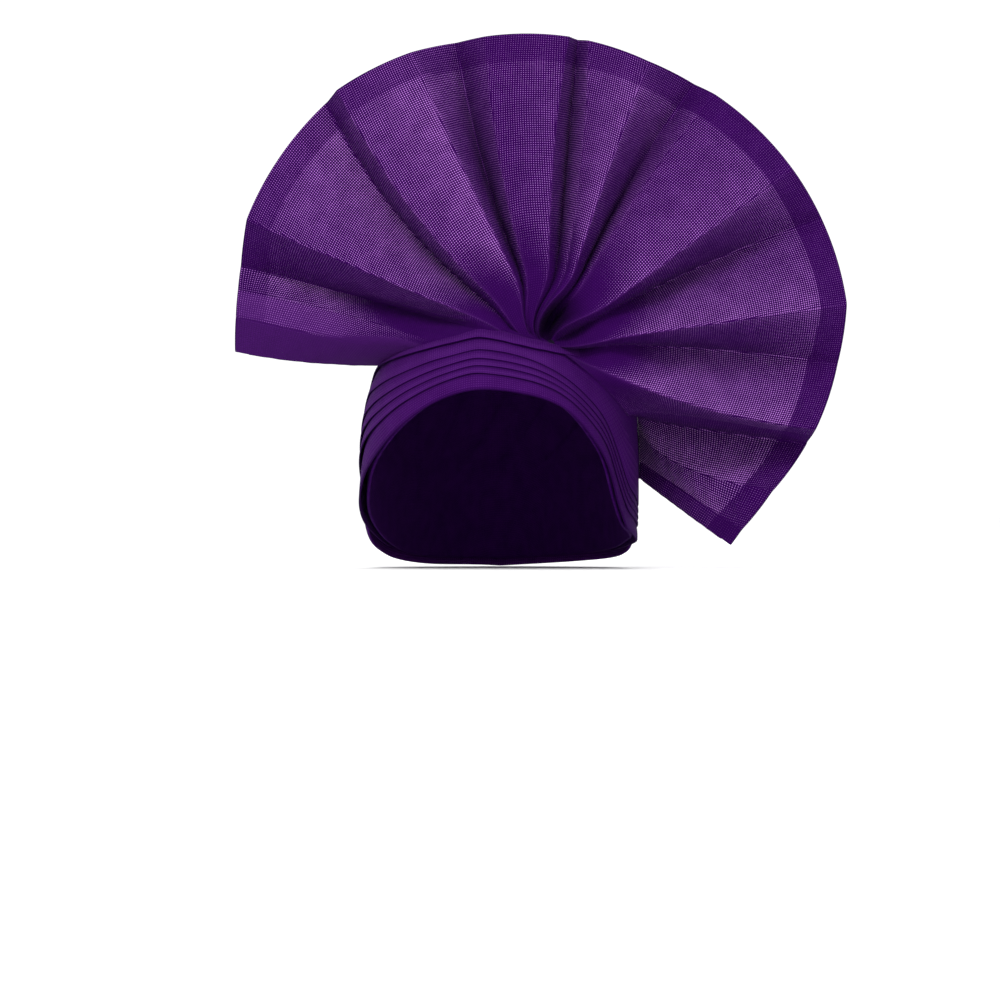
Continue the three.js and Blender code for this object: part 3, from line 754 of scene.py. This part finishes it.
# Painted shade: in the valleys, and near black in the pocket among the folds at the gather
deepShade = {"valley": 0.2, "left_valley": 0.1}
pocket = {"ridge_7": 0, "valley_4": 1, "ridge_8": 1, "ridge_9": 0}
shadeReach = {"fold": 0.16, "root": 26, "pocket": 24}


# The doubled margin at the left is wider near the wrap
def marginEnd():
    return margin["at"] + margin["wider"] * smooth((margin["from"] - fanOut) / margin["over"])


# How open the net looks, and so how much painted light shows in its holes: shut near the gather, where
# layers lie on each other, and most open just before each fold
def fanSheerPaintedLight():
    panel = np.minimum(fanAt.astype(int), len(foldRows) - 2)
    share = (fanAt - panel)[:, None]
    base = np.array([row["sheer"] for row in foldRows])[panel][:, None]
    longer = np.interp(fanAt, openness["leftFolds"], openness["leftLonger"])[:, None]
    shutTo = openness["shutTo"] + longer - openness["foldShorter"] * share**2
    fromRoot = smooth((fanOut - shutTo) / openness["fade"])
    fromRoot = fromRoot * smooth((fanAt[:, None] - marginEnd() + 0.1) / 0.12)
    lengths = arcs(fanPoints, 1)
    start, change = openness["hemChange"]
    left, right = openness["hemLeft"], openness["hemRight"]
    inHem = left + (right - left) * smooth((fanAt - start) / change)
    hemmed = np.where(lengths[:, -1:] - lengths < hemWidth, inHem[:, None], 1)
    # A panel turned away shows the net of the one before it, and opens again towards the rim
    away = np.array([row["sheer"] < 0.2 and "ridge" in row["fold"] for row in foldRows])[panel][:, None]
    start, over = openness["turnedOpens"]
    turned = openness["turned"] * away * (0.9 * np.exp(-share / 0.25) + smooth((fanOut - start) / over))
    return (base * (0.5 + 0.5 * share**1.5) + turned) * fromRoot * hemmed


# Painted shade: the valleys, the cloth round the gather and the pocket among its deep folds are painted
# darker
def fanShade():
    depth = [deepShade.get(name.rstrip("_0123456789"), 0) for name in foldNames]
    near = [v * np.exp(-np.abs(fanAt - k) / shadeReach["fold"]) for k, v in enumerate(depth)]
    valley = np.max(near, 0)[:, None]
    toRoot = np.exp(-((fanOut / shadeReach["root"]) ** 2))
    inPocket = np.interp(fanAt, [foldNames.index(name) for name in pocket], list(pocket.values()))
    dark = np.clip(2.5 * inPocket, 0, 1)[:, None] * np.exp(-((fanOut / shadeReach["pocket"]) ** 4))
    return np.clip(valley * (0.45 + 0.55 * toRoot) + 0.2 * toRoot + dark, 0, 1)


# Painted highlight: a thin line of light along the ridges, and the doubled margin and the lip at the left
# painted a little paler
def fanPaintedHighlight():
    ridges = [k for k, name in enumerate(foldNames) if "ridge" in name]
    line = np.max([np.exp(-np.abs(fanAt - k) / lightLine["width"]) for k in ridges], 0)[:, None]
    line = lightLine["share"] * line * np.exp(-(((fanOut - lightLine["at"]) / lightLine["over"]) ** 2))
    doubled = margin["paler"] * smooth((marginEnd() + 0.05 - fanAt[:, None]) / 0.1)
    inLip = smooth((fanAt - lip["first"]) / 0.1) * (1 - smooth((fanAt - lip["last"]) / 0.1))
    doubled = np.maximum(doubled, inLip[:, None] * smooth((fanOut - lip["from"]) / lip["over"]))
    # The free edge by the gather gets a painted light line too
    fromGather = (fanAt - foldNames.index("ridge_11"))[:, None]
    edge = smooth((fromGather - selvage["first"]) / 0.04)
    edge = edge * (1 - smooth((fromGather - selvage["last"]) / 0.2))
    return line + doubled + edge * np.exp(-arcs(fanPoints, 1) / selvage["width"])


def fanCloth():
    obj = clothMesh("fanCloth", fanPoints, stretches=fanStretches, sheer=fanSheerPaintedLight(), paintedHighlight=fanPaintedHighlight(),
                    shade=fanShade())
    dress(obj, {
        "material": fanNet, "nodes": ["fan"], "slot": "fan_cloth",
        "flat": fan["flat"], "held": "gathered", "restsOn": ["crownTurns", "browPleat5"],
    })


# Under its own edge the fan's cloth dips to the wrap, and at both temples it goes on round the head
rightTail = {
    "first": "ridge_10", "last": "right_edge", "onward": 22, "down": 2, "narrow": 0.8, "dive": 2,
    "flat": (0.08, 0.034),
}
leftTail = {
    "first": "left_edge", "last": "left_valley", "onward": -4, "down": 9, "narrow": 0, "dive": 6,
    "flat": (0.08, 0.0125),
}
tailRows = 14


def fanTail(name, tail):
    at = fanAt[(fanAt >= foldNames.index(tail["first"])) & (fanAt <= foldNames.index(tail["last"]))]
    turn, drop, restOn, seated = (values[:, None] for values in feetAt(at))
    share = np.linspace(0, 1, tailRows)[None, :]
    dip = restOn * (0.45 - 0.15 * seated) * smooth(share * tail["dive"])
    fall = (tail["down"] * seated - 2 * (1 - seated)) * share
    fall = fall + tail["narrow"] * seated * smooth(share) * (0.94 * head["crown"] - drop)
    sheet = wrapPoint(turn + tail["onward"] * seated * share, drop + fall, wall["crown"] + restOn - dip)
    # A painted highlight along the free edge at the gather, and painted shade growing away from the foot
    obj = clothMesh(name, sheet, paintedHighlight=0.9 * (share < 0.1) * (1 - seated), shade=0.15 * share)
    dress(obj, {
        "material": fanNet, "nodes": ["fan"], "slot": "fan_cloth",
        "flat": tail["flat"], "held": "folded", "restsOn": ["browPleat5", "fanCloth"],
    })


# The hems: margins turned in behind the fan. From: the first row of the side hems.
hem = {"radius": 0.55, "turnFrom": 15, "turnRows": 7, "from": 6, "sheer": 0.3}
hemFlats = {"rim": (0.66, 0.018), "left": (0.1, 0.034), "right": (0.06, 0.012)}


# The sheet's first row is the edge it turns round, and normals point to the side it lies on
def turnedIn(side, sheet, normals, stretches=None, sheerPaintedLightOf=hem["sheer"]):
    radius = hem["radius"]
    outward = sheet[:, 0] - sheet[:, 1]
    outward = outward / np.linalg.norm(outward, axis=-1, keepdims=True)
    rows = []
    for a in np.radians(np.linspace(hem["turnFrom"], 180, hem["turnRows"])):
        rows.append(sheet[:, 0] + outward * radius * np.sin(a) + normals[:, 0] * radius * (1 - np.cos(a)))
    for j in range(1, sheet.shape[1]):
        rows.append(sheet[:, j] + normals[:, j] * 2 * radius)
    dress(clothMesh(side + "Hem", np.stack(rows, 1), stretches=stretches, sheer=sheerPaintedLightOf), {
        "material": fanNet, "nodes": [side + "_hem"], "slot": "hem_cloth",
        "flat": hemFlats[side], "held": "folded", "restsOn": ["fanCloth"],
    })


def hems():
    behind = sheetNormals(fanPoints)
    behind = behind * np.sign(np.median(behind[..., 1]))
    lengths = arcs(fanPoints, 1)
    depth = np.median(lengths[:, -1:] - lengths, axis=0)
    first = int(np.argmax(depth < hemWidth))
    rim, left, right = (
        (slice(None), slice(None, first - 1, -1)),
        (slice(None, fanStretches[1][1] + 1), slice(hem["from"], first)),
        (slice(None, fanStretches[-1][0] - 1, -1), slice(hem["from"], first)),
    )
    turnedIn("rim", fanPoints[rim], behind[rim], fanStretches, fanSheerPaintedLight()[:, -1:])
    for side, part in (("left", left), ("right", right)):
        turnedIn(side, np.swapaxes(fanPoints[part], 0, 1), np.swapaxes(behind[part], 0, 1))


crownTurns()
for index in range(len(band["edges"])):
    browPleat(index)
browTopFold()
napeTurn()
fanCloth()
fanTail("fanTailRight", rightTail)
fanTail("fanTailLeft", leftTail)
hems()


# The room: a round pale floor, soft light from all sides and the photograph's view, in metres

floorDisc = {"below": 0.0015, "radius": 9.0, "rings": 12, "spokes": 96}
worldLight = 1.1
lamps = {
    "key": {"place": (-0.35, -1.5, 1.5), "size": 0.7, "power": 29},
    "fill": {"place": (1.4, -1.2, 0.3), "size": 1.2, "power": 5},
    "rear": {"place": (0.6, 1.7, 1.5), "size": 1.0, "power": 16},
}
view = {"perPixel": 0.55 * mm, "pixels": 1000, "headTopPixel": 315, "fanPlane": -0.035, "distance": 3.0}


def floor():
    level = cadBounds[0][2] - floorDisc["below"]
    rings, spokes = floorDisc["rings"], floorDisc["spokes"]
    around = np.linspace(0, 2 * np.pi, spokes, endpoint=False)
    verts = [(0, 0, level)]
    for k in range(1, rings + 1):
        r = floorDisc["radius"] * (k / rings) ** 2
        verts += [(r * np.cos(a), r * np.sin(a), level) for a in around]
    faces = [(0, 1 + i, 1 + (i + 1) % spokes) for i in range(spokes)]
    for k in range(rings - 1):
        inner, outer = 1 + k * spokes, 1 + (k + 1) * spokes
        for i in range(spokes):
            j = (i + 1) % spokes
            faces.append((inner + i, outer + i, outer + j, inner + j))
    mesh = bpy.data.meshes.new("floor")
    mesh.from_pydata(verts, [], faces)
    obj = bpy.data.objects.new("floor", mesh)
    bpy.context.collection.objects.link(obj)
    g = Graph("paper")
    grain = g.node("TexNoise", Scale=60.0, Detail=3.0)
    shade = g.mix(grain, (0.9, 0.9, 0.9, 1), (0.94, 0.94, 0.94, 1))
    g.node("OutputMaterial", Surface=g.node("BsdfPrincipled", Base_Color=shade, Roughness=0.9))
    mesh.materials.append(g.material)


def lights():
    world = bpy.data.worlds.new("room")
    bpy.context.scene.world = world
    world.use_nodes = True
    background = world.node_tree.nodes["Background"]
    background.inputs["Color"].default_value = (1, 1, 1, 1)
    background.inputs["Strength"].default_value = worldLight
    for name, lamp in lamps.items():
        light = bpy.data.lights.new(name, "AREA")
        light.shape = "DISK"
        light.size = lamp["size"]
        light.energy = lamp["power"]
        obj = bpy.data.objects.new(name, light)
        obj.location = lamp["place"]
        obj.rotation_euler = (-Vector(lamp["place"])).to_track_quat("-Z", "Y").to_euler()
        bpy.context.collection.objects.link(obj)


def camera():
    data = bpy.data.cameras.new("camera")
    data.sensor_width = 36
    data.lens = data.sensor_width * view["distance"] / (view["pixels"] * view["perPixel"])
    obj = bpy.data.objects.new("camera", data)
    height = (view["headTopPixel"] - view["pixels"] / 2) * view["perPixel"]
    obj.location = (0, view["fanPlane"] - view["distance"], height)
    obj.rotation_euler = (np.pi / 2, 0, 0)
    bpy.context.collection.objects.link(obj)
    bpy.context.scene.camera = obj


floor()
lights()
camera()
bpy.context.scene.view_settings.view_transform = "Standard"
print("floor, lights and camera made")
